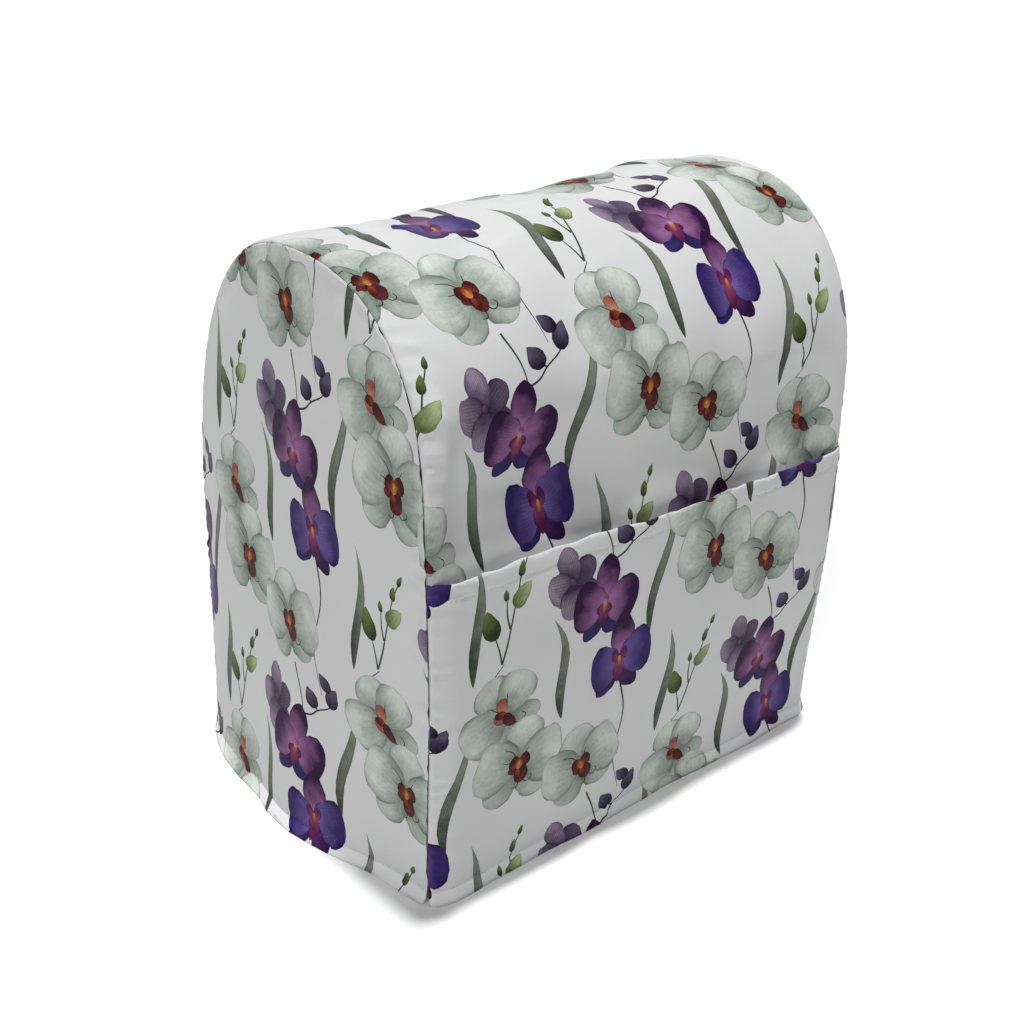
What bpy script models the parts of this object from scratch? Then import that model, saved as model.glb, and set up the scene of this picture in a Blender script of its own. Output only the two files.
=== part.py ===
# Fitted cloth cover for a stand mixer: a strip that runs up the front, over the
# top and down the back, an arch-shaped panel at each end, and a pocket over the
# lower front. The front faces -Y, and the hem stands on the floor at z = 0.
# Metres, +Z up. The origin ends up at the bottom centre of the whole cover.

import math

import bmesh
import bpy
from mathutils import Vector

# Driving sizes
WIDTH = 0.380            # between the two end seams, along the front
CLOTH = 0.002            # thickness of the cloth
GAP = 0.0003             # left between pieces that are sewn together
HEM = 0.010              # height of the hem, which hangs straight
SEAM_DIP_WIDTH = 0.016   # the cloth sinks to each end seam over this width
POCKET_HEIGHT = (0.2535, 0.2425)   # top edge of the pocket, at the left and the right
POCKET_SLACK = 0.0090    # how far the middle of its top edge stands off the front
POCKET_SAG = 0.0010      # how far the middle of its top edge drops
FRONT_LEAN_HEIGHT = 0.2  # the front leans forward up to here

# How finely each piece is divided
SIDE_STEPS = 13          # from the hem to a shoulder
TOP_STEPS = 14           # from shoulder to shoulder
POCKET_STEPS = 9
SEAM_COLUMNS = (0.0, 0.005, 0.011, 0.018)
MIDDLE_COLUMNS = 15
CURVE_SAMPLES = 600
SLOPE_STEP = 0.002       # how far to either side a slope is measured

# The arch that each end seam follows, seen from the end (y back, z up).
# The sides lean, then each shoulder is a quarter of a superellipse.
END_ARCHES = {
    "left": {
        "front_foot": 0.005, "front": -0.0045, "front_shoulder": 0.300, "front_power": 2.45,
        "back_foot": 0.307, "back_lean": 0.085, "back_shoulder": 0.195, "back_power": 2.38,
        "crown_y": 0.125, "crown_z": 0.4322,
    },
    "right": {
        "front_foot": 0.005, "front": -0.0045, "front_shoulder": 0.288, "front_power": 2.15,
        "back_foot": 0.307, "back_lean": 0.085, "back_shoulder": 0.195, "back_power": 2.30,
        "crown_y": 0.122, "crown_z": 0.4352,
    },
}

# How far the end panels swell outwards, in metres, from front to back
END_SWELL_COLUMNS = ("across", "hem", "middle", "shoulder")
END_SWELL = (
    (0.00, 0.000, 0.000, 0.000),
    (0.14, 0.008, 0.006, 0.004),
    (0.30, 0.023, 0.012, 0.006),
    (0.45, 0.033, 0.015, 0.007),
    (0.60, 0.029, 0.013, 0.006),
    (0.75, 0.027, 0.013, 0.006),
    (0.88, 0.019, 0.010, 0.005),
    (1.00, 0.000, 0.000, 0.000),
)
SWELL_HEIGHTS = (0.0, 0.45, 0.80, 1.0)   # where the table's columns stand, and the arch's edge

# How far the strip stands out from the line between the end seams, along the arch
SEAM_RISE = (
    (0.00, 0.0045),
    (0.28, 0.0045),
    (0.40, 0.0016),
    (0.60, 0.0012),
    (0.74, 0.0030),
    (1.00, 0.0045),
)

# Broad dents and rises of the strip: centre, reach and depth (inwards is positive)
STRIP_FOLD_COLUMNS = ("x", "along", "reach_x", "reach_along", "depth")
STRIP_FOLDS = (
    (0.105, 0.285, 0.060, 0.050, 0.0070),    # hollow of the front above the pocket
    (0.290, 0.300, 0.070, 0.045, 0.0030),
    (0.075, 0.560, 0.035, 0.070, 0.0030),    # sag across the top by the left end
    (0.215, 0.520, 0.050, 0.060, 0.0012),
    (0.140, 0.860, 0.060, 0.090, 0.0050),    # hollow of the back
    (0.300, 0.800, 0.050, 0.080, 0.0035),
)

# Upright ripples of the pocket's slack, as shares of it
POCKET_WAVE_COLUMNS = ("pitch", "phase", "share")
POCKET_WAVES = (
    (0.092, 0.6, 0.16),
    (0.053, 0.0, 0.10),
)

COLOURS = {
    "main_panel": (0.80, 0.76, 0.80),
    "end_panel_left": (0.76, 0.75, 0.77),
    "end_panel_right": (0.76, 0.75, 0.77),
    "front_pocket": (0.78, 0.75, 0.79),
}


def blend(a, b, share):
    """A value part of the way from a to b."""
    return a + (b - a) * share


def smooth(rows, position):
    """Read a column of a table at a position, along a smooth curve through its rows."""
    last = len(rows) - 1
    index = next((i for i in range(last) if position <= rows[i + 1][0]), last - 1)
    before = rows[max(index - 1, 0)]
    start = rows[index]
    end = rows[index + 1]
    after = rows[min(index + 2, last)]
    span = end[0] - start[0]
    t = (position - start[0]) / span
    slope_start = (end[1] - before[1]) / (end[0] - before[0]) * span
    slope_end = (after[1] - start[1]) / (after[0] - start[0]) * span
    return (
        start[1] * (2 * t**3 - 3 * t**2 + 1)
        + slope_start * (t**3 - 2 * t**2 + t)
        + end[1] * (3 * t**2 - 2 * t**3)
        + slope_end * (t**3 - t**2)
    )


# Arches of the end seams

def front_side(arch, z):
    """How far back the front edge of an arch lies at height z, below its shoulder."""
    share = min(z / FRONT_LEAN_HEIGHT, 1.0)
    return blend(arch["front_foot"], arch["front"], share * share * (3 - 2 * share))


def back_side(arch, z):
    """How far back the back edge of an arch lies at height z, its shoulder left out."""
    return arch["back_foot"] - arch["back_lean"] * z


def shoulder_reach(height, power):
    """Share of a shoulder's reach that is left at a share of its height."""
    return (1.0 - min(height, 1.0) ** power) ** (1.0 / power)


def raw_arch(arch, samples):
    """Points of one arch from the front foot over the crown to the back foot."""
    points = []
    for i in range(samples + 1):
        z = arch["front_shoulder"] * i / samples
        points.append((front_side(arch, z), z))
    for i in range(1, samples + 1):
        lift = math.sin(0.5 * math.pi * i / samples)
        z = blend(arch["front_shoulder"], arch["crown_z"], lift)
        reach = shoulder_reach(lift, arch["front_power"])
        points.append((blend(arch["crown_y"], arch["front"], reach), z))
    for i in range(samples - 1, -1, -1):
        lift = math.sin(0.5 * math.pi * i / samples)
        z = blend(arch["back_shoulder"], arch["crown_z"], lift)
        reach = shoulder_reach(lift, arch["back_power"])
        points.append((blend(arch["crown_y"], back_side(arch, z), reach), z))
    for i in range(samples - 1, -1, -1):
        z = arch["back_shoulder"] * i / samples
        points.append((back_side(arch, z), z))
    return points


def measured_arch(arch):
    """The arch with its running length, as rows of (length, y, z)."""
    rows = []
    length = 0.0
    previous = None
    for point in raw_arch(arch, CURVE_SAMPLES):
        if previous is not None:
            length += math.dist(point, previous)
        rows.append((length, point[0], point[1]))
        previous = point
    return rows


ARCHES = {end: measured_arch(arch) for end, arch in END_ARCHES.items()}
HEM_SHARE = HEM / ARCHES["left"][-1][0]
SHOULDERS = (0.355, 0.620)   # where the end panels' top corners lie along the arch


def arch_point(end, share):
    """Point (y, z) of an end's arch at a share of its length."""
    rows = ARCHES[end]
    length = min(max(share, 0.0), 1.0) * rows[-1][0]
    low = 0
    high = len(rows) - 1
    while high - low > 1:
        middle = (low + high) // 2
        if rows[middle][0] <= length:
            low = middle
        else:
            high = middle
    start = rows[low]
    end_row = rows[high]
    part = (length - start[0]) / (end_row[0] - start[0])
    return blend(start[1], end_row[1], part), blend(start[2], end_row[2], part)


def arch_shares():
    """Shares of the arch's length where the strip and the end panels have their points."""
    side = [blend(HEM_SHARE, SHOULDERS[0], i / (SIDE_STEPS - 1)) for i in range(SIDE_STEPS)]
    top = [blend(SHOULDERS[0], SHOULDERS[1], i / TOP_STEPS) for i in range(1, TOP_STEPS)]
    back = [blend(SHOULDERS[1], 1 - HEM_SHARE, i / (SIDE_STEPS - 1)) for i in range(SIDE_STEPS)]
    return [0.0] + side + top + back + [1.0]


# Surface of the strip

def fold_depth(x, share):
    """How far the broad folds push the strip inwards."""
    depth = 0.0
    for fold in STRIP_FOLDS:
        row = dict(zip(STRIP_FOLD_COLUMNS, fold))
        away_x = (x - row["x"]) / row["reach_x"]
        away_along = (share - row["along"]) / row["reach_along"]
        depth += row["depth"] * math.exp(-away_x**2 - away_along**2)
    return depth


def seam_fade(x):
    """Nothing at an end seam, and 1 where the strip has risen to its full height."""
    to_seam = min(x, WIDTH - x)
    return 1 - (1 - min(to_seam / SEAM_DIP_WIDTH, 1.0)) ** 2


def strip_base(x, share):
    """Point of the ruled surface between the two arches."""
    left = arch_point("left", share)
    right = arch_point("right", share)
    across = x / WIDTH
    return Vector((x, blend(left[0], right[0], across), blend(left[1], right[1], across)))


def strip_out(x, share):
    """Outward direction of that ruled surface, upright to its x lines."""
    ahead = strip_base(x, min(share + SLOPE_STEP, 1.0))
    along = ahead - strip_base(x, max(share - SLOPE_STEP, 0.0))
    return Vector((0.0, -along.z, along.y)).normalized()


def strip_point(x, share):
    """Point of the strip's outer face; it hangs straight within the hem."""
    level = min(max(share, HEM_SHARE), 1 - HEM_SHARE)
    rise = (smooth(SEAM_RISE, level) - fold_depth(x, level)) * seam_fade(x)
    point = strip_base(x, level) + strip_out(x, level) * rise
    if share < HEM_SHARE or share > 1 - HEM_SHARE:
        point.z *= min(share, 1 - share) / HEM_SHARE
    return point


def strip_normal(x, share):
    """Outward normal of the strip's outer face."""
    along = strip_point(x, share + SLOPE_STEP) - strip_point(x, max(share - SLOPE_STEP, 0.0))
    right = strip_point(min(x + SLOPE_STEP, WIDTH), share)
    across = right - strip_point(max(x - SLOPE_STEP, 0.0), share)
    return across.cross(along).normalized()


def strip_columns():
    """Places across the strip where it has its points, closer together at the seams."""
    inner = SEAM_COLUMNS[-1]
    middle = [blend(inner, WIDTH - inner, i / MIDDLE_COLUMNS) for i in range(1, MIDDLE_COLUMNS)]
    return list(SEAM_COLUMNS) + middle + [WIDTH - x for x in reversed(SEAM_COLUMNS)]


# Surfaces of the end panels and the pocket

def end_outline(end, share):
    """Point (y, z) of an end panel's edge, which fits inside the strip."""
    level = min(max(share, HEM_SHARE), 1 - HEM_SHARE)
    here = arch_point(end, level)
    ahead = arch_point(end, level + SLOPE_STEP)
    behind = arch_point(end, level - SLOPE_STEP)
    along = Vector((ahead[0] - behind[0], ahead[1] - behind[1])).normalized()
    inset = CLOTH + GAP
    y = here[0] + along.y * inset
    z = here[1] - along.x * inset
    if share < HEM_SHARE or share > 1 - HEM_SHARE:
        z *= min(share, 1 - share) / HEM_SHARE
    return Vector((y, z))


def end_swell(across, height):
    """How far an end panel stands out at a share across it and a share of its height."""
    levels = []
    for column in range(1, len(END_SWELL_COLUMNS)):
        rows = [(row[0], row[column]) for row in END_SWELL]
        levels.append((SWELL_HEIGHTS[column - 1], smooth(rows, across)))
    levels.append((SWELL_HEIGHTS[-1], 0.0))
    return smooth(levels, height)


def end_point(end, column, row):
    """Point of an end panel: a four-sided patch between the hem and the arch."""
    shares = arch_shares()
    u = column / TOP_STEPS
    v = row / SIDE_STEPS
    front = end_outline(end, shares[row])
    back = end_outline(end, shares[-1 - row])
    top = end_outline(end, shares[SIDE_STEPS + column])
    foot_front = end_outline(end, 0.0)
    foot_back = end_outline(end, 1.0)
    top_front = end_outline(end, shares[SIDE_STEPS])
    top_back = end_outline(end, shares[SIDE_STEPS + TOP_STEPS])
    foot = foot_front.lerp(foot_back, u)
    place = foot.lerp(top, v) + front.lerp(back, u)
    place -= foot.lerp(top_front.lerp(top_back, u), v)
    hem_row = 1 / SIDE_STEPS
    out = end_swell(u, max(v - hem_row, 0.0) / (1 - hem_row))
    if row == 0:
        above = end_point(end, column, 1)
        return Vector((above.x, above.y, 0.0))
    side = -out if end == "left" else WIDTH + out
    return Vector((side, place.x, place.y))


def pocket_top(x):
    """Share of the arch's length that the pocket's top edge reaches."""
    across = x / WIDTH
    sag = POCKET_SAG * max(math.sin(math.pi * across), 0.0)
    height = blend(POCKET_HEIGHT[0], POCKET_HEIGHT[1], across) - sag
    return height / ARCHES["left"][-1][0]


def pocket_slack(x, height):
    """How far the pocket stands off the front, at a share of its own height."""
    across = max(math.sin(math.pi * x / WIDTH), 0.0) ** 0.75
    waves = 1.0
    for wave in POCKET_WAVES:
        row = dict(zip(POCKET_WAVE_COLUMNS, wave))
        waves += row["share"] * math.sin(math.tau * x / row["pitch"] + row["phase"])
    return POCKET_SLACK * across * waves * height**0.6


def pocket_point(x, row):
    """Point of the pocket's outer face, a cloth's thickness and a gap off the front."""
    if row == 0:
        above = pocket_point(x, 1)
        return Vector((above.x, above.y, 0.0))
    height = (row - 1) / (POCKET_STEPS - 1)
    share = blend(HEM_SHARE, pocket_top(x), height)
    off = CLOTH + GAP + pocket_slack(x, height)
    point = strip_point(x, share) + strip_normal(x, max(share, HEM_SHARE * 1.5)) * off
    if row == 1:
        point.z = HEM
    return point


# Objects

def material(name, colour):
    made = bpy.data.materials.new(name + "_cloth")
    made.use_nodes = True
    surface = made.node_tree.nodes["Principled BSDF"]
    surface.inputs["Base Color"].default_value = (*colour, 1.0)
    surface.inputs["Roughness"].default_value = 0.6
    surface.inputs["Metallic"].default_value = 0.0
    return made


def sheet(name, collection, columns, rows, place, turned=False):
    """A grid of cloth whose points are placed by a function, thickened inwards."""
    mesh = bpy.data.meshes.new(name)
    grid = bmesh.new()
    bmesh.ops.create_grid(grid, x_segments=columns, y_segments=rows, size=1.0)
    for point in grid.verts:
        column = round((point.co.x + 1) / 2 * columns)
        row = round((point.co.y + 1) / 2 * rows)
        point.co = place(column, row)
    if turned:
        bmesh.ops.reverse_faces(grid, faces=grid.faces[:])
    grid.to_mesh(mesh)
    grid.free()
    mesh.shade_smooth()
    mesh.materials.append(material(name, COLOURS[name]))
    cloth = bpy.data.objects.new(name, mesh)
    collection.objects.link(cloth)
    thickness = cloth.modifiers.new("thickness", "SOLIDIFY")
    thickness.thickness = CLOTH
    thickness.offset = -1.0
    thickness.use_even_offset = True
    return cloth


def main_panel(collection):
    xs = strip_columns()
    shares = arch_shares()
    return sheet("main_panel", collection, len(xs) - 1, len(shares) - 1,
                 lambda column, row: strip_point(xs[column], shares[row]))


def end_panel(collection, end):
    return sheet("end_panel_" + end, collection, TOP_STEPS, SIDE_STEPS,
                 lambda column, row: end_point(end, column, row), turned=(end == "left"))


def front_pocket(collection):
    xs = strip_columns()
    return sheet("front_pocket", collection, len(xs) - 1, POCKET_STEPS,
                 lambda column, row: pocket_point(xs[column], row))


def move_to_bottom_centre(pieces):
    """Shift every piece's mesh so that the origin is the bottom centre of the whole."""
    depsgraph = bpy.context.evaluated_depsgraph_get()
    corners = []
    for piece in pieces:
        shape = piece.evaluated_get(depsgraph).to_mesh()
        corners += [piece.matrix_world @ point.co for point in shape.vertices]
    low = [min(corner[axis] for corner in corners) for axis in range(3)]
    high = [max(corner[axis] for corner in corners) for axis in range(3)]
    shift = Vector((-(low[0] + high[0]) / 2, -(low[1] + high[1]) / 2, -low[2]))
    for piece in pieces:
        for point in piece.data.vertices:
            point.co += shift
        piece.data.update()
    print("shift", [round(value, 5) for value in shift])
    print("size", [round(b - a, 5) for a, b in zip(low, high)])


def main():
    for old in list(bpy.data.objects):
        bpy.data.objects.remove(old)
    collection = bpy.data.collections.new("mixer_cover")
    bpy.context.scene.collection.children.link(collection)
    pieces = [
        main_panel(collection),
        end_panel(collection, "left"),
        end_panel(collection, "right"),
        front_pocket(collection),
    ]
    bpy.context.view_layer.update()
    move_to_bottom_centre(pieces)


main()
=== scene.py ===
import math
import random

import bpy
import numpy as np
from mathutils.geometry import delaunay_2d_cdt
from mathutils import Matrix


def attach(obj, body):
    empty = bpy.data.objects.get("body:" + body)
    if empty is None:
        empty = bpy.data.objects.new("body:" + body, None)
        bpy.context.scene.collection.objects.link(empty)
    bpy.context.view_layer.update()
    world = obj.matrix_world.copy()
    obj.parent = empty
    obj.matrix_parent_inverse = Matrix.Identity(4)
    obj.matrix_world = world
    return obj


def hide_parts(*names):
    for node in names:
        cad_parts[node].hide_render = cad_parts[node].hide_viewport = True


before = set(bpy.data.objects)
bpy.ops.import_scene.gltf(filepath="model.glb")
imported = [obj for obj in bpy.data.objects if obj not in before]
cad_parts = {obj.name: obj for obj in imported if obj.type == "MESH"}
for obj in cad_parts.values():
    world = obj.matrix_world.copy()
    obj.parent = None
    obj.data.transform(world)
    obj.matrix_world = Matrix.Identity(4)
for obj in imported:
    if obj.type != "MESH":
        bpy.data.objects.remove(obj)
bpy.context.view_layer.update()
bpy.ops.object.select_all(action="DESELECT")
print("frame loaded")

# Shape of the cover, in metres from its front left foot, as the solids have it
cover = {
    "width": 0.380,  # between the end seams
    "cloth": 0.001,
    "hem": 0.010,  # hangs straight
    "seamDip": 0.016,  # the strip sinks to each end seam over this width
    "frontLean": 0.2,  # the front leans forward up to here
    "origin": (0.190, 0.14493, 0.0),
    "slopeStep": 0.002,  # in shares of the arch's length
    "calmSeam": 0.03,  # the broad waves start this far from seams and hems
    "calmHem": 0.04,
}
arches = {"left": {  # the end seams, seen from the end
    "frontFoot": 0.005, "front": -0.0045, "frontShoulder": 0.300, "frontPower": 2.45,
    "backFoot": 0.307, "backLean": 0.085, "backShoulder": 0.195, "backPower": 2.38,
    "crownY": 0.125, "crownZ": 0.4322,
}}
arches["right"] = {
    **arches["left"], "front": -0.0056, "frontShoulder": 0.288, "frontPower": 2.33,
    "backPower": 2.30, "crownY": 0.122, "crownZ": 0.4352,
}
endSwell = {  # how far the end panels stand out, front to back and upwards
    "across": (0.00, 0.14, 0.30, 0.45, 0.60, 0.75, 0.88, 1.00),
    "hem": (0.000, 0.008, 0.023, 0.033, 0.029, 0.027, 0.019, 0.000),
    "middle": (0.000, 0.006, 0.012, 0.015, 0.013, 0.013, 0.010, 0.000),
    "shoulder": (0.000, 0.004, 0.006, 0.007, 0.006, 0.006, 0.005, 0.000),
    "crown": (0.0,) * 8,
    "heights": (0.0, 0.45, 0.80, 1.0),
}
stripSwell = {  # how far the strip stands out between the seams, along the arch
    "along": (0.00, 0.28, 0.40, 0.60, 0.74, 1.00),
    "rise": (0.0045, 0.0045, 0.0016, 0.0012, 0.0030, 0.0045),
}
stripFolds = (  # x, along the arch, their reaches and depth: the broad dents
    (0.105, 0.285, 0.060, 0.050, 0.0070),
    (0.290, 0.300, 0.070, 0.045, 0.0030),
    (0.075, 0.560, 0.035, 0.070, 0.0030),
    (0.215, 0.520, 0.050, 0.060, 0.0012),
    (0.140, 0.860, 0.060, 0.090, 0.0050),
    (0.300, 0.800, 0.050, 0.080, 0.0035),
)
pocket = {
    "left": 0.2535,  # height of its top edge at each end
    "right": 0.2425,
    "sag": 0.0010,
    "slack": 0.0032,  # the middle of its top edge stands this far off the front
    "waves": ((0.092, 0.6, 0.16), (0.053, 0.0, 0.10)),  # pitch, phase and share of the slack
    "off": 0.0012,  # off the front at the seams
    "offMore": 0.0011,
    "band": 0.0120,  # height of its top hem
}


def mix(a, b, share):
    return a + (b - a) * share


def ease(low, high, value):  # 0 to 1, soft at both ends
    share = np.clip((value - low) / (high - low), 0, 1)
    return share * share * (3 - 2 * share)


def hump(distance, reach):
    return np.exp(-(distance / reach) ** 2)


def smoothCurve(places, values, position):  # read between a table's rows
    places = np.asarray(places, float)
    values = np.asarray(values, float)
    if values.ndim == 1:
        values = np.repeat(values[:, None], position.size, axis=1)
    spots = np.arange(position.size)
    last = len(places) - 1
    start = np.clip(np.searchsorted(places, position) - 1, 0, last - 1)
    before = np.maximum(start - 1, 0)
    after = np.minimum(start + 2, last)
    span = places[start + 1] - places[start]
    t = (position - places[start]) / span
    low = values[start, spots]
    high = values[start + 1, spots]
    slopeLow = (high - values[before, spots]) / (places[start + 1] - places[before]) * span
    slopeHigh = (values[after, spots] - low) / (places[after] - places[start]) * span
    return (low * (2 * t**3 - 3 * t**2 + 1) + slopeLow * (t**3 - 2 * t**2 + t)
            + high * (3 * t**2 - 2 * t**3) + slopeHigh * (t**3 - t**2))


def traceArch(arch):  # running length, y and z along an end seam
    steps = np.linspace(0, 1, 601)
    up = arch["frontShoulder"] * steps
    frontY = mix(arch["frontFoot"], arch["front"], ease(0, cover["frontLean"], up))
    lift = np.sin(0.5 * math.pi * steps)
    frontReach = (1 - lift ** arch["frontPower"]) ** (1 / arch["frontPower"])
    backReach = (1 - lift ** arch["backPower"]) ** (1 / arch["backPower"])
    frontZ = mix(arch["frontShoulder"], arch["crownZ"], lift)
    backZ = mix(arch["backShoulder"], arch["crownZ"], lift)
    down = arch["backShoulder"] * steps
    backSide = arch["backFoot"] - arch["backLean"] * backZ
    y = np.concatenate([
        frontY,
        mix(arch["crownY"], arch["front"], frontReach)[1:],
        mix(arch["crownY"], backSide, backReach)[-2::-1],
        (arch["backFoot"] - arch["backLean"] * down)[-2::-1],
    ])
    z = np.concatenate([up, frontZ[1:], backZ[-2::-1], down[-2::-1]])
    length = np.concatenate([[0], np.cumsum(np.hypot(np.diff(y), np.diff(z)))])
    return length, y, z


width = cover["width"]
seams = {end: traceArch(arch) for end, arch in arches.items()}
stripLength = seams["left"][0][-1]
hemShare = cover["hem"] / stripLength


def archPoint(end, share):
    length, y, z = seams[end]
    at = np.clip(share, 0, 1) * length[-1]
    return np.interp(at, length, y), np.interp(at, length, z)


def stripBase(x, share):  # ruled surface between the two seams
    leftY, leftZ = archPoint("left", share)
    rightY, rightZ = archPoint("right", share)
    across = x / width
    return np.stack([x, mix(leftY, rightY, across), mix(leftZ, rightZ, across)], axis=-1)


def unit(vectors):
    return vectors / np.linalg.norm(vectors, axis=-1, keepdims=True)


def stripSmooth(x, share):  # the solid's outer face
    step = cover["slopeStep"]
    level = np.clip(share, hemShare, 1 - hemShare)
    rise = smoothCurve(stripSwell["along"], stripSwell["rise"], level)
    for foldX, foldAlong, reachX, reachAlong, depth in stripFolds:
        rise = rise - depth * hump(x - foldX, reachX) * hump(level - foldAlong, reachAlong)
    toSeam = np.minimum(x, width - x) / cover["seamDip"]
    rise = rise * (1 - (1 - np.clip(toSeam, 0, 1)) ** 2)
    along = stripBase(x, level + step) - stripBase(x, level - step)
    out = unit(np.stack([np.zeros_like(x), -along[:, 2], along[:, 1]], axis=-1))
    return stripBase(x, level) + out * rise[:, None]


def stripNormal(x, share):
    step = cover["slopeStep"]
    low = hemShare * 1.3  # clear of the hem, which hangs straight
    level = np.clip(share, low, 1 - low)
    along = stripSmooth(x, level + step) - stripSmooth(x, level - step)
    right = stripSmooth(np.minimum(x + step, width), level)
    left = stripSmooth(np.maximum(x - step, 0), level)
    return unit(np.cross(right - left, along))


# Small relief that the cloth has over the solid: seams, hems, creases
seamLook = {
    "puckerPitch": 0.0125, "puckerHeight": 0.00058, "puckerPlace": 0.005, "puckerReach": 0.008,
    "wrinklePitch": 0.024, "wrinkleHeight": 0.00060, "wrinklePlace": 0.012, "wrinkleReach": 0.015,
    "ridge": 0.0007, "ridgePlace": 0.0030, "ridgeReach": 0.0014, "ridgePitch": 0.0100, "farShare": 0.4,
    "groove": 0.0016, "grooveReach": 0.0013,
}
hemLook = {
    "band": 0.0100, "bandRise": 0.0004, "bandSoft": 0.001, "groove": 0.0008, "grooveReach": 0.0010,
    "puckerPitch": 0.0090, "puckerHeight": 0.00050, "puckerPlace": 0.006, "puckerReach": 0.0070,
    "flareHeight": 0.0115, "stripFlare": 0.0034, "endFlare": 0.0056, "backShare": 0.3,
}
pocketHem = {  # the pocket's top hem, measured down from its edge
    "rise": 0.0004, "soft": 0.0008, "groove": 0.0006, "roll": 0.0005, "rollReach": 0.0025,
    "pucker": 0.0007, "pitch": 0.015, "place": 0.006, "reach": 0.009,
}
seamNicks = {  # short tucks across the front left seam: places along it
    "along": (0.034, 0.071, 0.118, 0.149, 0.163, 0.207, 0.238, 0.291, 0.327, 0.349, 0.382, 0.415, 0.468),
    "rise": (.0007, .0005, .0008, -.0006, .0007, .0006, -.0005, .0007, .0009, -.0007, .0009, .0007, .0006),
    "reach": 0.0028, "place": 0.0030, "width": 0.0055,
}
shoulderBand = {"x": 0.0135, "reach": 0.0115, "along": 0.352, "length": 0.036, "rise": 0.0062}
pocketHollow = {"along": 0.296, "fall": 0.022, "reachUp": 0.046, "depth": 0.0094, "deepX": 0.075,
                "deepReach": 0.060, "deeper": 0.0030, "lipAlong": 0.348, "lipReach": 0.026, "lip": 0.0008}
crownLine = {  # the top's ups and downs across the cover
    "x": np.arange(20) / 50,
    "rise": (0, 0, .0008, .0018, -.0008, -.0024, -.0024, -.0012, 0, .0012, 0, -.0014, -.0014, -.0006,
             .0004, .0010, .0042, .0024, -.0006, 0),
    "along": 0.54, "reach": 0.10,
}
stripCreases = (  # x and length at both ends, reach, height; all in metres
    (0.001, 0.402, 0.034, 0.388, 0.0034, 0.0008),
    (0.001, 0.384, 0.026, 0.366, 0.0034, -0.0006),
    (0.002, 0.360, 0.030, 0.352, 0.0040, 0.0006),
    (0.002, 0.338, 0.024, 0.330, 0.0034, 0.0005),
    (0.003, 0.430, 0.036, 0.424, 0.0040, 0.0006),
    (0.120, 0.395, 0.215, 0.372, 0.0060, 0.0013),
    (0.010, 0.520, 0.110, 0.492, 0.0060, -0.0021),
    (0.050, 0.512, 0.095, 0.535, 0.0060, 0.0022),
    (0.072, 0.470, 0.120, 0.486, 0.0060, 0.0016),
    (0.090, 0.445, 0.150, 0.462, 0.0060, 0.0016),
    (0.150, 0.500, 0.205, 0.488, 0.0060, 0.0016),
    (0.235, 0.530, 0.330, 0.515, 0.0060, 0.0018),
    (0.255, 0.335, 0.372, 0.318, 0.0060, 0.0009),
    (0.030, 0.300, 0.170, 0.268, 0.0080, -0.0018),
    (0.225, 0.292, 0.330, 0.262, 0.0060, 0.0007),
    (0.300, 0.455, 0.378, 0.430, 0.0060, 0.0018),
    (0.060, 0.700, 0.300, 0.730, 0.0070, 0.0018),
    (0.200, 0.905, 0.360, 0.930, 0.0060, -0.0016),
)
swells = {  # waves a metre in x and in length, phase, height
    "strip": ((9.0, 5.5, 0.4, 0.0009), (-6.5, 8.5, 2.0, 0.0008), (14.0, -7.0, 4.1, 0.0004)),
    "pocket": ((7.0, 3.0, 1.0, 0.0007), (3.5, -6.0, 0.3, 0.0006)),
    "end": ((6.0, 4.5, 0.9, 0.0008), (-4.0, 7.5, 2.6, 0.0007)),
}
seeds = {  # keep the seams' ripples unlike; strip and pocket have two seams
    "strip": (1.3, 4.7), "pocket": (2.3, 5.9), "left": 0.4, "right": 3.3, "hem": 3.9, "endHem": 2.9,
}


def crease(x, s, x0, s0, x1, s1, reach, height):
    run = math.hypot(x1 - x0, s1 - s0)
    ux, us = (x1 - x0) / run, (s1 - s0) / run
    along = (x - x0) * ux + (s - s0) * us
    away = (s - s0) * ux - (x - x0) * us
    fade = ease(-0.1, 0.35, along / run) * (1 - ease(0.65, 1.1, along / run))
    side = away / reach
    return height * fade * np.exp(-side**2) * (1 + 1.3 * side)


def softWaves(x, s, panel):
    total = np.zeros_like(x)
    for wavesX, wavesS, phase, height in swells[panel]:
        total += height * np.sin(math.tau * (wavesX * x + wavesS * s) + phase)
    return total


def calm(edge, height):
    return ease(0.0, cover["calmSeam"], edge) * ease(0.0, cover["calmHem"], height)


def ripples(along, pitch, seed):  # uneven, never quite repeating
    wander = np.sin(along * 61 + seed) + 0.7 * np.sin(along * 143 + 2.1 * seed)
    strength = 0.5 + 0.7 * np.sin(along * 37 + 3 * seed) * np.sin(along * 88 + seed)
    strength = np.clip(strength + 0.25 * np.sin(along * 23 + 2 * seed), 0.05, 1.2)
    return np.sin(math.tau * along / pitch + 2.4 * wander) * strength


def seamRelief(edge, along, seed):
    ripple = ripples(along, seamLook["puckerPitch"], seed)
    pucker = hump(edge - seamLook["puckerPlace"], seamLook["puckerReach"])
    pucker = seamLook["puckerHeight"] * ripple * pucker
    wrinkle = ripples(along + edge * 0.4, seamLook["wrinklePitch"], 1.7 * seed)
    near = hump(edge - seamLook["wrinklePlace"], seamLook["wrinkleReach"])
    pucker += seamLook["wrinkleHeight"] * wrinkle * near
    ridge = seamLook["ridge"] * hump(edge - seamLook["ridgePlace"], seamLook["ridgeReach"])
    groove = seamLook["groove"] * hump(edge, seamLook["grooveReach"])
    nick = ripples(along, seamLook["ridgePitch"], seed + 2.0)
    return pucker + ridge * (1 + 0.4 * ripple + 0.5 * nick) - groove


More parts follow.
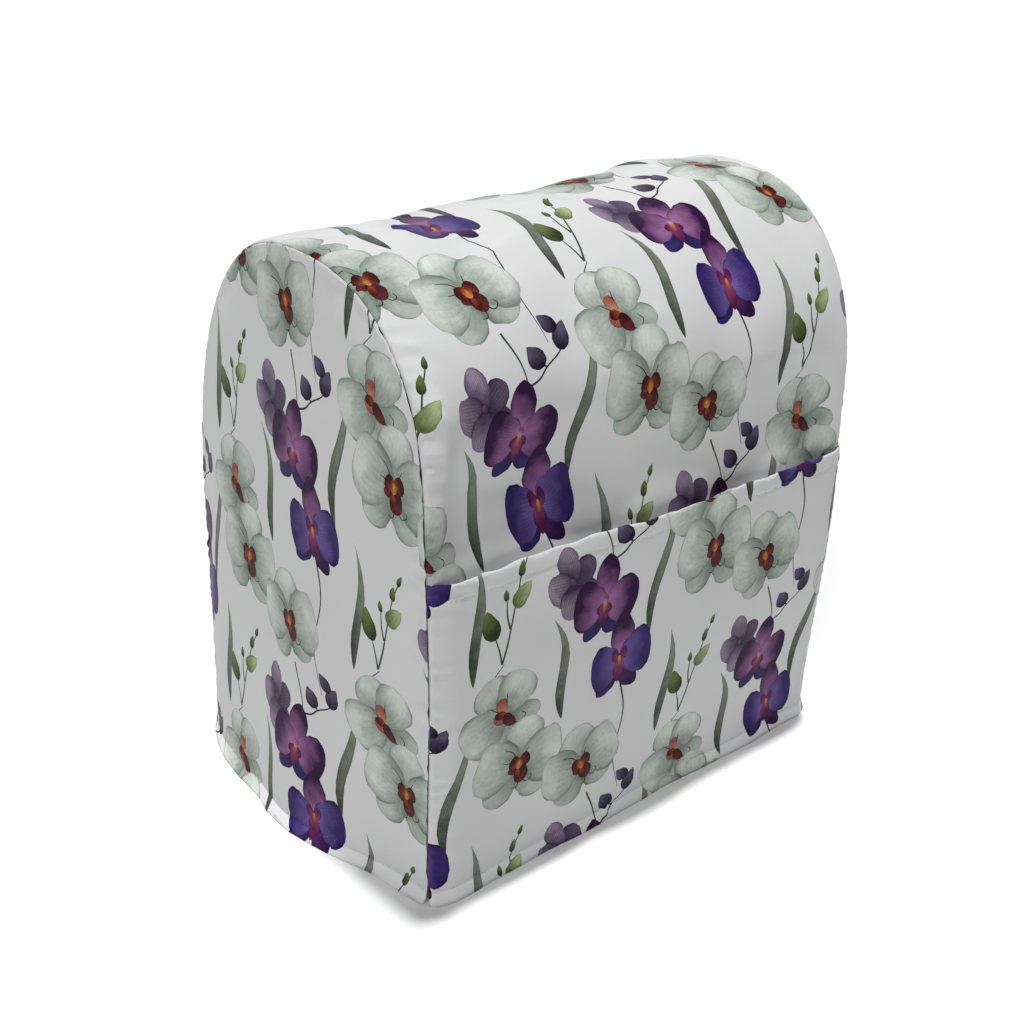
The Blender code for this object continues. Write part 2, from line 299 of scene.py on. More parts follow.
def tucks(edge, along):
    total = np.zeros_like(edge)
    for place, rise in zip(seamNicks["along"], seamNicks["rise"]):
        total += rise * hump(along - place, seamNicks["reach"])
    return total * hump(edge - seamNicks["place"], seamNicks["width"])


def hemRelief(height, along, seed, flare):
    ripple = ripples(along, hemLook["puckerPitch"], seed)
    top, soft = hemLook["band"], hemLook["bandSoft"]
    band = hemLook["bandRise"] * (1 - ease(top - soft, top + soft, height))
    groove = hemLook["groove"] * hump(height - top, hemLook["grooveReach"])
    near = hump(height - hemLook["puckerPlace"], hemLook["puckerReach"])
    pucker = hemLook["puckerHeight"] * ripple * near
    low = 1 - np.clip(height / hemLook["flareHeight"], 0, 1)
    kick = flare * low**1.4 * (0.9 + 0.2 * np.sin(along * 31 + seed) * np.sin(along * 77 + seed))
    return band - groove + pucker + kick


def stripRelief(x, s):
    edge = np.minimum(x, width - x)
    seed = np.where(x < width / 2, *seeds["strip"])
    toHem = np.minimum(s, stripLength - s)
    far = np.where(x < width / 2, ease(0.46, 0.56, s / stripLength), 1)
    relief = seamRelief(edge, s, seed) * mix(1, seamLook["farShare"], far)
    relief += tucks(x, s)
    relief += softWaves(x, s, "strip") * calm(edge, toHem)
    for row in stripCreases:
        relief += crease(x, s, *row) * ease(0.0, 0.004, edge)
    band = shoulderBand
    lift = hump(s - band["along"], band["length"]) * hump(x - band["x"], band["reach"])
    relief += band["rise"] * lift * (1 + 0.15 * ripples(s, 0.018, 2.2))
    hollow = pocketHollow
    deep = hollow["depth"] + hollow["deeper"] * hump(x - hollow["deepX"], hollow["deepReach"])
    deep = deep * hump(s - hollow["along"] + hollow["fall"] * x / width, hollow["reachUp"])
    lip = hollow["lip"] * hump(s - hollow["lipAlong"], hollow["lipReach"])
    relief += (lip - deep) * ease(0.002, 0.03, edge)
    top = smoothCurve(crownLine["x"], crownLine["rise"], x)
    relief += top * hump(s - crownLine["along"], crownLine["reach"])
    flare = hemLook["stripFlare"] * np.where(s < stripLength / 2, 1, hemLook["backShare"])
    return relief + hemRelief(toHem, x, seeds["hem"], flare)


def hangHem(points, height):  # the hem's rows stand under the one above
    points[:, 2] *= np.clip(height / cover["hem"], 0, 1)
    return points


def placeStrip(x, s):
    share = s / stripLength
    level = np.clip(share, hemShare, 1 - hemShare)
    points = stripSmooth(x, level) + stripNormal(x, level) * stripRelief(x, s)[:, None]
    return hangHem(points, np.minimum(s, stripLength - s))


def pocketTop(x):
    across = x / width
    sag = pocket["sag"] * np.sin(math.pi * across)
    flutter = 0.0005 * np.sin(x * 210) + 0.0004 * np.sin(x * 97 + 1)
    return mix(pocket["left"], pocket["right"], across) - sag + flutter


def placePocket(x, s):
    top = pocketTop(x)
    height = np.clip((s - cover["hem"]) / (top - cover["hem"]), 0, 1)
    waves = np.ones_like(x)
    for pitch, phase, share in pocket["waves"]:
        waves += share * np.sin(math.tau * x / pitch + phase)
    edge = np.minimum(x, width - x)
    slack = pocket["slack"] * np.sin(math.pi * np.clip(x / width, 0, 1)) ** 0.75 * waves * height**0.6
    off = pocket["off"] + pocket["offMore"] * ease(0, 0.016, edge) + slack
    seed = np.where(x < width / 2, *seeds["pocket"])
    relief = seamRelief(edge, s, seed) * np.where(x < width / 2, 1, seamLook["farShare"])
    relief += tucks(x, s) + hemRelief(s, x, seeds["hem"], hemLook["stripFlare"])
    down = top - s
    hem, band = pocketHem, pocket["band"]
    relief += hem["rise"] * (1 - ease(band - hem["soft"], band + hem["soft"], down))
    relief -= hem["groove"] * hump(down - band, hem["soft"])
    relief -= hem["roll"] * np.clip(1 - down / hem["rollReach"], 0, 1) ** 2
    ripple = hem["pucker"] * ripples(x, hem["pitch"], 0.8)
    relief += ripple * hump(down - hem["place"], hem["reach"]) * ease(0, 0.01, edge)
    relief += softWaves(x, s, "pocket") * ease(0, cover["calmSeam"], edge)
    level = np.clip(s / stripLength, hemShare, 1)
    points = stripSmooth(x, level) + stripNormal(x, level) * (off + relief)[:, None]
    return hangHem(points, s)


endSize = {
    "depth": 0.307,
    "sideStep": 0.0014,  # the outline lies this far inside the seam
    "outlineStep": 0.0026,
}


def endOutline(end):  # y, z and inward normal along the arch
    length = seams[end][0][-1]
    share = np.linspace(0, 1, int(length / endSize["outlineStep"]) + 1)
    y, z = archPoint(end, share)
    slopeY, slopeZ = np.gradient(y), np.gradient(z)
    size = np.hypot(slopeY, slopeZ)
    return y, z, slopeZ / size, -slopeY / size, share * length


def nearestSeam(end, y, z):  # how far the end's seam is, and at which of its points
    seamY, seamZ = endOutline(end)[:2]
    edge = np.full(y.size, 1.0)
    nearest = np.zeros(y.size, int)
    for at in range(seamY.size):
        distance = np.hypot(y - seamY[at], z - seamZ[at])
        nearest = np.where(distance < edge, at, nearest)
        edge = np.minimum(distance, edge)
    return edge, nearest


def placeEnd(end, y, z):
    seamY, seamZ, _, _, run = endOutline(end)
    edge, nearest = nearestSeam(end, y, z)
    crown = int(np.argmax(seamZ))
    level = np.maximum(z, cover["hem"])
    frontY = np.interp(level, seamZ[:crown + 1], seamY[:crown + 1])
    backY = np.interp(level, seamZ[crown:][::-1], seamY[crown:][::-1])
    across = np.clip((y - frontY) / np.maximum(backY - frontY, 0.001), 0, 1)
    height = np.clip((level - cover["hem"]) / (seamZ[crown] - cover["hem"]), 0, 1)
    levels = [
        smoothCurve(endSwell["across"], endSwell[name], across)
        for name in ("hem", "middle", "shoulder", "crown")
    ]
    out = smoothCurve(endSwell["heights"], np.array(levels), height)
    out = out + softWaves(y, z, "end") * calm(edge, z)
    out = out + 0.8 * seamRelief(edge, run[nearest], seeds[end])
    out = out + tucks(edge, run[nearest]) * (end == "left")
    flare = hemLook["endFlare"] * (1 - 0.8 * ease(0.78, 0.97, across))
    out = out + hemRelief(z, y, seeds["endHem"], flare) * ease(0.0, 0.01, edge + 0.004)
    x = -out if end == "left" else width + out
    return np.stack([x, y, z], axis=-1)


# The print: every petal, leaf and stem is a shape on the flat cloth, in millimetres
paints = {  # sRGB at the root, to the tip, of veins and rim; veins, their share, rim's share
    "violet": ("9c689a", "30143c", "1a0a24", 17, 0.38, 0.8),
    "violetDeep": ("542c62", "2c143e", "180c28", 13, 0.35, 0.75),
    "blueViolet": ("6c5898", "342460", "140c34", 15, 0.34, 0.85),
    "blueLow": ("1e1436", "32265a", "140c2c", 9, 0.3, 0.65),
    "mauve": ("3a2646", "8e7e92", "32243e", 12, 0.72, 0.8),
    "mauveLow": ("2e203a", "5e4e68", "241a2e", 9, 0.7, 0.75),
    "lip": ("863e66", "541c48", "2e0c28", 5, 0.4, 0.75),
    "gold": ("c8904c", "96543a", "502426", 3, 0.3, 0.4),
    "blush": ("b88eac", "7c4870", "502a50", 5, 0.45, 0.3),
    "plum": ("201a2c", "544c64", "14101e", 5, 0.45, 0.9),
    "sage": ("7e8b80", "c0c7c0", "546258", 9, 0.22, 0.7),
    "sageLow": ("6c796f", "aab3ab", "4c5a50", 7, 0.22, 0.7),
    "rust": ("8c3e22", "401818", "1c0a0c", 7, 0.5, 0.9),
    "rustDark": ("381618", "5e282c", "1c0c0e", 5, 0.45, 0.9),
    "ochre": ("c47c3e", "763620", "3c1810", 5, 0.45, 0.7),
    "shell": ("b8806a", "8c5046", "462020", 5, 0.4, 0.85),
    "bud": ("2c381c", "647042", "1c2412", 5, 0.5, 0.9),
    "budPale": ("5c6840", "a4ac80", "3a4424", 5, 0.4, 0.85),
    "blade": ("40473c", "82887b", "2a302a", 6, 0.85, 0.65),
    "stem": ("424830", "424830", "303424", 1, 0.0, 0.0),
    "stemDark": ("343034", "343034", "282428", 1, 0.0, 0.0),
    "curl": ("34161a", "34161a", "240e12", 1, 0.0, 0.0),
    "ground": ("cfcfd0", "cfcfd0", "c8c8ca", 1, 0.0, 0.0),
}

# Rows of a bloom, back to front: paint, angle, start, length, half width, root power,
# tip power (low is blunt) and bend
blooms = {}
blooms["violet"] = (
    ("blueLow", 236, 2, 29, 10.0, 0.6, 0.6, 0.1),
    ("blueLow", 305, 2, 29, 10.5, 0.6, 0.6, -0.1),
    ("violet", 92, 1, 36, 13.5, 0.6, 0.66, 0.05),
    ("violet", 166, 0, 35, 18.5, 0.55, 0.42, 0.22),
    ("violet", 14, 0, 36, 18.5, 0.55, 0.42, -0.22),
    ("lip", 212, 0, 11, 4.2, 0.55, 0.5, 0.3),
    ("lip", 328, 0, 11, 4.2, 0.55, 0.5, -0.3),
    ("lip", 270, 1, 18, 6.0, 0.45, 0.75, 0.0),
    ("gold", 268, -5, 12, 2.4, 0.6, 0.6, 0.0),
    ("blush", 90, -1, 8, 3.4, 0.6, 0.5, 0.0),
)
blooms["blue"] = (
    ("blueLow", 222, 4, 30, 9.5, 0.6, 0.62, 0.15),
    ("violetDeep", 300, 4, 29, 9.5, 0.6, 0.62, -0.15),
    ("violet", 84, 1, 37, 13.0, 0.62, 0.72, -0.05),
    ("blueViolet", 172, 0, 33, 19.0, 0.55, 0.38, 0.2),
    ("blueViolet", 6, 0, 34, 19.0, 0.55, 0.38, -0.2),
    ("lip", 128, -2, 13, 4.2, 0.6, 0.5, 0.35),
    ("lip", 50, -2, 13, 4.2, 0.6, 0.5, -0.35),
    ("lip", 262, 1, 19, 6.5, 0.45, 0.8, 0.0),
    ("gold", 268, -3, 8, 2.0, 0.6, 0.6, 0.0),
)
blooms["mauve"] = (
    ("mauveLow", 318, 1, 25, 9.5, 0.6, 0.55, -0.1),
    ("mauveLow", 20, 1, 25, 10.0, 0.6, 0.6, 0.1),
    ("mauve", 88, 1, 27, 11.0, 0.6, 0.62, 0.05),
    ("mauve", 160, 0, 27, 12.5, 0.55, 0.48, 0.2),
    ("mauve", 236, 0, 27, 12.0, 0.55, 0.48, 0.1),
    ("mauveLow", 100, -2, 7, 2.6, 0.6, 0.6, 0.0),
)
blooms["sage"] = (
    ("sageLow", 228, 2, 31, 12.0, 0.6, 0.5, 0.12),
    ("sageLow", 312, 2, 30, 12.0, 0.6, 0.5, -0.12),
    ("sage", 88, 1, 33, 15.5, 0.55, 0.45, 0.05),
    ("sage", 164, 0, 34, 20.0, 0.52, 0.34, 0.18),
    ("sage", 16, 0, 35, 20.5, 0.52, 0.34, -0.18),
    ("rustDark", 214, 0, 9, 3.6, 0.55, 0.5, 0.3),
    ("rust", 150, -2, 10, 4.8, 0.55, 0.42, 0.25),
    ("rust", 36, -2, 11, 5.0, 0.55, 0.42, -0.25),
    ("rustDark", 286, 1, 14, 5.6, 0.45, 0.48, 0.1),
    ("rust", 268, 4, 8, 2.6, 0.5, 0.6, 0.15),
    ("ochre", 94, -4, 8, 3.0, 0.55, 0.5, 0.0),
    ("gold", 98, -1, 4, 1.3, 0.6, 0.6, 0.0),
)
blooms["sageSide"] = (
    ("sageLow", 262, 1, 30, 11.0, 0.6, 0.52, 0.15),
    ("sageLow", 338, 3, 24, 8.5, 0.6, 0.52, -0.1),
    ("sage", 112, 0, 32, 13.5, 0.58, 0.46, 0.1),
    ("sage", 58, 0, 31, 14.5, 0.56, 0.42, -0.1),
    ("sage", 196, 0, 34, 17.5, 0.52, 0.36, 0.15),
    ("shell", 100, 1, 11, 4.2, 0.55, 0.45, 0.1),
    ("shell", 196, -3, 11, 5.4, 0.5, 0.4, 0.15),
    ("rust", 168, -1, 8, 3.0, 0.55, 0.5, 0.2),
    ("rustDark", 300, 0, 13, 3.8, 0.5, 0.6, -0.25),
)
curls = {  # thin hooks under the centres, as points
    "sage": (
        ((4, -11), (8, -15), (12, -13), (11, -10)), ((2, -12), (1, -17), (-3, -17)),
        ((-3, 5), (-7, 10), (-13, 13)), ((3, 5), (6, 11)), ((-6, 2), (-12, 3)),
    ),
    "sageSide": (((6, -9), (11, -12), (15, -8), (12, -4)), ((-4, 3), (-9, 8)), ((2, 8), (3, 14))),
}
sprigs = {"plum": {  # buds have paint, angle, root, length and half width
    "paint": "stemDark",
    "stems": (((0, 0), (7, 8), (10, 17), (17, 30), (14, 40)), ((10, 17), (8, 17), (6, 17))),
    "buds": (
        ("plum", 158, (8, 17), 17, 6.8),
        ("plum", 96, (17, 30), 19, 6.4),
        ("plum", 170, (12, 42), 16, 5.4),
    ),
}, "green": {
    "paint": "stem",
    "stems": (
        ((4, -14), (7, 0), (9, 14), (11, 27), (15, 48), (20, 62)),
        ((4, -14), (1, -4), (-3, 6)),
        ((8, 12), (5, 22), (4, 33)),
    ),
    "buds": (
        ("bud", 112, (-3, 6), 25, 7.0),
        ("budPale", 52, (11, 27), 21, 6.6),
        ("bud", 100, (4, 33), 9, 2.4),
        ("bud", 84, (15, 48), 12, 3.0),
        ("bud", 74, (20, 62), 9, 2.2),
    ),
}}

# One repeat, in millimetres
tile = {"width": 172, "height": 226, "drop": 0.5, "bladeWidth": 4.4}
tileBlades = (  # x and y of the foot, angle, length, bend, twist
    (160, 124, 80, 104, 0.9, 0.7),
    (178, 30, 88, 92, -0.8, 0.6),
    (82, 86, 98, 86, -1.0, 0.8),
)
tileStems = (  # paint, half width, points
    ("stemDark", 0.75, ((128, 140), (126, 150), (120, 158))),
    ("stemDark", 0.8, ((136, 96), (142, 66), (136, 28), (144, -6))),
    ("stem", 0.85, ((30, 134), (22, 142), (30, 152))),
    ("stem", 0.8, ((112, 6), (122, -22), (122, -58))),
)
tileMotifs = (  # motif, x, y, turn in degrees, size and squash across
    ("plum", 122, 196, -30, 1.0, 1.0),
    ("mauve", 88, 190, 14, 1.0, 0.84),
    ("violet", 116, 166, -9, 0.97, 0.84),
    ("blue", 134, 114, 6, 1.02, 0.8),
    ("sageSide", 32, 112, 6, 1.14, 1.0),
    ("sage", 48, 62, -6, 1.18, 0.92),
    ("sage", 104, 36, 12, 1.12, 0.96),
    ("green", 26, 166, -6, 0.95, 1.0),
)
drawn = {"petalSteps": 15, "budSteps": 8, "budBelow": 14, "stemSteps": 5, "curlHalf": 0.45, "stemHalf": 0.8}
millimetre = 0.001


def turned(angle):
    return np.array([math.cos(angle), math.sin(angle)])


def motifFrame(x, y, turn, size, squash):  # a motif's own axes on the cloth
    angle = math.radians(turn)
    ahead = turned(angle) * size * squash
    up = turned(angle + math.pi / 2) * size
    return np.array([x, y]), np.stack([ahead, up], axis=1)


def makePetal(paint, root, angle, length, half, rootPower, tipPower, bend, twist, place, seed):
    middle = rootPower / (rootPower + tipPower)
    peak = middle**rootPower * (1 - middle) ** tipPower
    steps = drawn["petalSteps"] if length > drawn["budBelow"] else drawn["budSteps"]
    t = 0.5 - 0.5 * np.cos(np.linspace(0, math.pi, steps))
    wide = t**rootPower * (1 - t) ** tipPower
    wide = wide * (1 + 0.05 * np.sin(t * 9 + seed * 5) + 0.03 * np.sin(t * 21 + seed * 11))
    line = peak * (bend * 4 * t * (1 - t) + twist * np.sin(math.tau * t))
    right = np.stack([t, line - wide], axis=1)
    left = np.stack([t, line + wide], axis=1)[-2:0:-1]
    centre, axes = place
    along = axes @ (turned(math.radians(angle)) * length)
    across = axes @ (turned(math.radians(angle + 90)) * half / peak)
    origin = centre + axes @ np.asarray(root, float)
    both = np.stack([along, across], axis=1)
    return {
        "paint": paint, "outline": origin + np.concatenate([right, left]) @ both.T,
        "origin": origin, "toPetal": np.linalg.inv(both), "seed": seed,
        "form": (rootPower, tipPower, bend * peak, twist * peak),
    }


def makeStem(paint, points, half, place, seed, taper=0.45):
    centre, axes = place
    corners = np.array([centre + axes @ np.array(point, float) for point in points])
    places = np.linspace(0, 1, len(corners))
    t = np.linspace(0, 1, drawn["stemSteps"] * len(corners))
    x = smoothCurve(places, corners[:, 0], t)
    y = smoothCurve(places, corners[:, 1], t)
    slope = unit(np.stack([np.gradient(x), np.gradient(y)], axis=1))
    side = np.stack([-slope[:, 1], slope[:, 0]], axis=1) * (half * (1 - taper * t))[:, None]
    middle = np.stack([x, y], axis=1)
    return {
        "paint": paint, "outline": np.concatenate([middle - side, (middle + side)[::-1]]),
        "origin": corners[0], "toPetal": np.zeros((2, 2)), "seed": seed,
        "form": (1.0, 1.0, 0.0, 0.0),
    }


def makeBloom(name, place, dice):
    shapes = []
    for paint, angle, start, length, half, rootPower, tipPower, bend in blooms[name]:
        root = turned(math.radians(angle)) * start
        turn = angle + dice.uniform(-4, 4)
        shapes.append(makePetal(paint, root, turn, length * dice.uniform(0.95, 1.05), half,
                                rootPower, tipPower, bend, 0.0, place, dice.random()))
    for points in curls.get(name, ()):
        shapes.append(makeStem("curl", points, drawn["curlHalf"], place, dice.random()))
    return shapes


def makeSprig(sprig, place, dice):
    shapes = [
        makeStem(sprig["paint"], points, drawn["stemHalf"], place, dice.random())
        for points in sprig["stems"]
    ]
    for paint, angle, root, length, half in sprig["buds"]:
        shapes.append(makePetal(paint, root, angle, length, half, 0.50, 0.85,
                                0.10, 0.0, place, dice.random()))
    return shapes


def makeTile():
    dice = random.Random(41)
    shapes = []
    whole = motifFrame(0, 0, 0, 1.0, 1.0)
    for x, y, angle, length, bend, twist in tileBlades:
        shapes.append(makePetal("blade", (x, y), angle, length, tile["bladeWidth"], 0.75, 1.1,
                                bend, twist, whole, dice.random()))
    for paint, half, points in tileStems:
        shapes.append(makeStem(paint, points, half, whole, dice.random(), 0.7))
    for name, x, y, turn, size, squash in tileMotifs:
        place = motifFrame(x, y, turn, size, squash)
        if name in sprigs:
            shapes += makeSprig(sprigs[name], place, dice)
        else:
            shapes += makeBloom(name, place, dice)
    return shapes


bare = {  # cloth with nothing on it
    "paint": "ground", "origin": np.zeros(2), "toPetal": np.zeros((2, 2)), "seed": 0.0,
    "form": (1.0, 1.0, 0.0, 0.0),
}
tileShapes = makeTile()
print("print drawn:", len(tileShapes), "shapes in a repeat")


def repeatPrint(across, up, shift):  # every shape of the print on a panel, in metres
    shapes = []
    moves = []
    for column in range(-2, int(across / tile["width"] / millimetre) + 3):
        for row in range(-3, int(up / tile["height"] / millimetre) + 3):
            rise = (row + tile["drop"] * (column % 2)) * tile["height"]
            moves.append(np.array([column * tile["width"], rise]) + shift)
    for shape in tileShapes:  # blades and stems first, so that blooms lie over them
        for move in moves:
            outline = (shape["outline"] + move) * millimetre
            low, high = outline.min(axis=0), outline.max(axis=0)
            if high[0] <= 0 or high[1] <= 0 or low[0] >= across or low[1] >= up:
                continue
            shapes.append({
                **shape, "outline": outline, "origin": (shape["origin"] + move) * millimetre,
                "toPetal": shape["toPetal"] / millimetre,
            })
    return shapes


def linear(code):  # from hex digits in sRGB
    share = np.array([int(code[at:at + 2], 16) for at in (0, 2, 4)]) / 255
    return np.where(share <= 0.04045, share / 12.92, ((share + 0.055) / 1.055) ** 2.4)


def paintFaces(mesh, flat, faces, top, shapes):
    # Colours and each petal's own coordinates, kept on the face corners
    rows = [bare] + shapes
    table = [paints[row["paint"]] for row in rows]
    corner = np.repeat(top, 3)

    def column(key):
        return np.array([row[key] for row in rows])[corner]

    def paint(colour, number):
        values = [(*linear(row[colour]), row[number]) for row in table]
        return np.array(values, float)[corner]

    away = flat[faces.ravel()] - column("origin")
    within = np.einsum("nij,nj->ni", column("toPetal"), away)
    printed = np.where(corner > 0, 1.0, 0.0)
    layers = {
        "place": np.concatenate([within, np.stack([column("seed"), printed], axis=1)], axis=1),
        "form": column("form"), "root": paint(0, 3), "tip": paint(1, 4), "line": paint(2, 5),
    }
    for name, values in layers.items():
        layer = mesh.attributes.new(name, "FLOAT_COLOR", "CORNER")
        layer.data.foreach_set("color", values.astype(np.float32).ravel())


def addPiece(name, mesh, materials):
    piece = bpy.data.objects.new(name, mesh)
    bpy.context.scene.collection.objects.link(piece)
    for material in materials:
        mesh.materials.append(material)
    mesh.shade_smooth()
    return piece


def makeSheet(name, outline, inside, shift, place, materials):
    shapes = repeatPrint(*outline.max(axis=0), shift)
    loops = [outline] + [shape["outline"] for shape in shapes]
    points = np.concatenate([*loops, inside])
    faces = []
    start = 0
    for loop in loops:
        faces.append(list(range(start, start + len(loop))))
        start += len(loop)
    cut = delaunay_2d_cdt([tuple(point) for point in points], [], faces, 0, 1e-7, True)
    kept = [(face, max(owners)) for face, owners in zip(cut[2], cut[5]) if 0 in owners]
    faces = np.array([face for face, _ in kept])
    top = np.array([owner for _, owner in kept])
    used, faces = np.unique(faces, return_inverse=True)
    faces = faces.reshape(-1, 3)
    flat = np.array([tuple(point) for point in cut[0]])[used]
    shaped = place(flat[:, 0], flat[:, 1]) - np.array(cover["origin"])
    mesh = bpy.data.meshes.new(name)
    mesh.from_pydata(shaped.tolist(), [], faces.tolist())
    paintFaces(mesh, flat, faces, top, shapes)
    piece = addPiece(name, mesh, materials)
    finish = piece.modifiers.new("thickness", "SOLIDIFY")
    finish.thickness = cover["cloth"]
    finish.offset = -1.0
    finish.material_offset = 1
    bpy.context.view_layer.objects.active = piece
    bpy.ops.object.modifier_apply(modifier=finish.name)
    for vert in piece.data.vertices:  # no corner of the hem under the floor
        vert.co.z = max(vert.co.z, 0.0)
    print(name, "made:", len(piece.data.polygons), "faces")
    return piece


# Materials

class Wire:  # a node's output that takes part in sums
    def __init__(self, maker, socket):
        self.maker = maker
        self.socket = socket

    def sum(self, operation, *values):
        return self.maker.wire("ShaderNodeMath", {"operation": operation}, dict(enumerate(values)))

    def __add__(self, other):
        return self.sum("ADD", self, other)

    __radd__ = __add__

    def __sub__(self, other):
        return self.sum("SUBTRACT", self, other)

    def __rsub__(self, other):
        return self.sum("SUBTRACT", other, self)

    def __mul__(self, other):
        return self.sum("MULTIPLY", self, other)

    __rmul__ = __mul__

    def __truediv__(self, other):
        return self.sum("DIVIDE", self, other)

    def __pow__(self, other):
        return self.sum("POWER", self, other)

    def __abs__(self):
        return self.sum("ABSOLUTE", self)

    def sin(self):
        return self.sum("SINE", self)

    def atLeast(self, other):
        return self.sum("MAXIMUM", self, other)

    def atMost(self, other):
        return self.sum("MINIMUM", self, other)


class Finish:  # one material and its nodes
    def __init__(self, name):
        self.material = bpy.data.materials.new(name)
        self.material.use_nodes = True
        self.tree = self.material.node_tree
        self.tree.nodes.clear()

    def node(self, kind, settings=None, values=None):
        made = self.tree.nodes.new(kind)
        for key, value in (settings or {}).items():
            setattr(made, key, value)
        for key, value in (values or {}).items():
            if isinstance(value, Wire):
                self.tree.links.new(value.socket, made.inputs[key])
            else:
                made.inputs[key].default_value = value
        return made

    def wire(self, kind, settings=None, values=None, output=0):
        return Wire(self, self.node(kind, settings, values).outputs[output])

    def split(self, vector):
        made = self.node("ShaderNodeSeparateXYZ", None, {0: vector})
        return [Wire(self, made.outputs[index]) for index in range(3)]

    def layer(self, name):  # an attribute's three parts and its alpha
        made = self.node("ShaderNodeAttribute", {"attribute_name": name})
        return Wire(self, made.outputs["Color"]), Wire(self, made.outputs["Alpha"])

    def blend(self, low, high, share):
        settings = {"data_type": "RGBA", "clamp_factor": True}
        return self.wire("ShaderNodeMix", settings, {0: share, 6: low, 7: high}, 2)

    def smooth(self, value, low, high):
        settings = {"interpolation_type": "SMOOTHSTEP"}
        return self.wire("ShaderNodeMapRange", settings, {0: value, 1: low, 2: high})

    def noise(self, where, scale, detail=3.0, roughness=0.5):
        values = {"Vector": where, "Scale": scale, "Detail": detail, "Roughness": roughness}
        return self.wire("ShaderNodeTexNoise", None, values)

    def close(self, values):
        shader = self.node("ShaderNodeBsdfPrincipled", None, values)
        end = self.node("ShaderNodeOutputMaterial")
        self.tree.links.new(shader.outputs[0], end.inputs[0])
        return self.material


clothLook = {
    # the share below sets how much lighter the bottom hem band is painted: a painted highlight, as if the
    # band caught more light
    "roughness": 0.40, "roughnessSpread": 0.10, "specular": 0.04, "hemPaintedHighlight": 0.30,
    "washScale": 75, "blotScale": 42, "grainScale": 420, "weave": 0.000012, "weaveScale": 1500,
    "crinkle": 0.00026, "crinkleScale": 38, "reverse": (0.80, 0.80, 0.81, 1.0), "reverseShare": 0.72,
}
inkLook = {  # how unevenly the paint runs from root to tip and darkens at the rim
    "run": 1.45, "start": -0.1, "wash": 1.15, "grain": 0.22, "lean": 0.55, "rim": 0.62,
    "veinTurn": 1.57, "veinWander": 4.0, "speckle": 0.30, "blots": 0.70, "ground": 0.03,
}


def clothMaterial(name, reverse):
    finish = Finish(name)
    where = finish.wire("ShaderNodeTexCoord", None, None, 3)
    place, printed = finish.layer("place")
    form, twist = finish.layer("form")
    root, veins = finish.layer("root")
    tip, veinShare = finish.layer("tip")
    line, rimShare = finish.layer("line")
    t, across, seed = finish.split(place)
    rootPower, tipPower, bend = finish.split(form)
    t = t.atLeast(0.003).atMost(0.997)

    own = finish.wire("ShaderNodeCombineXYZ", None, {0: seed * 3.1, 1: seed * 5.7, 2: seed * 1.9})
    moved = finish.wire("ShaderNodeVectorMath", {"operation": "ADD"}, {0: where, 1: own})
    wash = finish.noise(moved, clothLook["washScale"], 4.0, 0.55)
    blot = finish.noise(moved, clothLook["blotScale"], 2.0, 0.5)
    grain = finish.noise(moved, clothLook["grainScale"], 2.0, 0.6)

    # How far a point lies from the petal's middle line, 1 at its edge
    middle = bend * 4 * t * (1 - t) + twist * (t * math.tau).sin()
    wide = (t**rootPower * (1 - t) ** tipPower).atLeast(0.02)
    side = (across - middle) / wide
    away = abs(side)
    edge = finish.smooth(away, 0.86, 1.0).atLeast(finish.smooth(t, 0.955, 1.0))
    softEdge = finish.smooth(away, 0.45, 1.05)
    ray = abs((side * veins * inkLook["veinTurn"] + (wash - 0.5) * inkLook["veinWander"]).sin())
    whole = finish.smooth(veinShare, 0.6, 0.7)  # a blade's veins run its whole length
    reach = (1 - finish.smooth(t, 0.35, 1.0)).atLeast(whole)
    vein = (1 - ray) ** 3 * reach * finish.smooth(t, 0.0, 0.08)

    share = t * inkLook["run"] + inkLook["start"] + (wash - 0.5) * inkLook["wash"]
    share = share + (grain - 0.5) * inkLook["grain"] + side * (seed - 0.5) * inkLook["lean"]
    colour = finish.blend(root, tip, share)
    soft = softEdge * finish.smooth(blot, 0.30, 0.72) * inkLook["rim"] * printed
    colour = finish.blend(colour, line, soft)
    colour = finish.blend(colour, line, vein * veinShare)
    colour = finish.blend(colour, line, edge * rimShare * (finish.smooth(wash, 0.32, 0.6) * 0.75 + 0.25))
    mottle = (grain - 0.5) * inkLook["speckle"] + (blot - 0.5) * inkLook["blots"]
    shade = 1 + mottle * printed + (wash - 0.5) * inkLook["ground"]
    # Painted highlight: below the hem's top height the cloth is painted lighter, standing in for light the
    # turned-out hem band catches
    height = finish.split(where)[2]
    hemTop = hemLook["band"]
    shade = shade + (1 - finish.smooth(height, hemTop - 0.0012, hemTop)) * clothLook["hemPaintedHighlight"]
    colour = finish.wire("ShaderNodeVectorMath", {"operation": "SCALE"}, {0: colour, "Scale": shade})
    if reverse:
        colour = finish.blend(colour, clothLook["reverse"], clothLook["reverseShare"])

    weave = finish.noise(where, clothLook["weaveScale"], 1.0) * clothLook["weave"]
    crinkle = finish.noise(where, clothLook["crinkleScale"], 5.0, 0.45) * clothLook["crinkle"]
    relief = {"Strength": 1.0, "Distance": 1.0, "Height": weave + crinkle}
    bump = finish.wire("ShaderNodeBump", None, relief)
    rough = clothLook["roughness"] + (wash - 0.5) * clothLook["roughnessSpread"]
    return finish.close({
        "Base Color": colour, "Roughness": rough, "Normal": bump,
        "Specular IOR Level": clothLook["specular"],
    })


def plainMaterial(name, colour, roughness, grainScale, glow=0.0):
    finish = Finish(name)
    where = finish.wire("ShaderNodeTexCoord", None, None, 3)
    grain = finish.noise(where, grainScale)
    dark = tuple(part * 0.96 for part in colour)
    tone = finish.blend((*dark, 1.0), (*colour, 1.0), grain)
    values = {"Base Color": tone, "Roughness": roughness}
    if glow:
        values["Emission Color"] = (1.0, 1.0, 1.0, 1.0)
        values["Emission Strength"] = glow
    return finish.close(values)


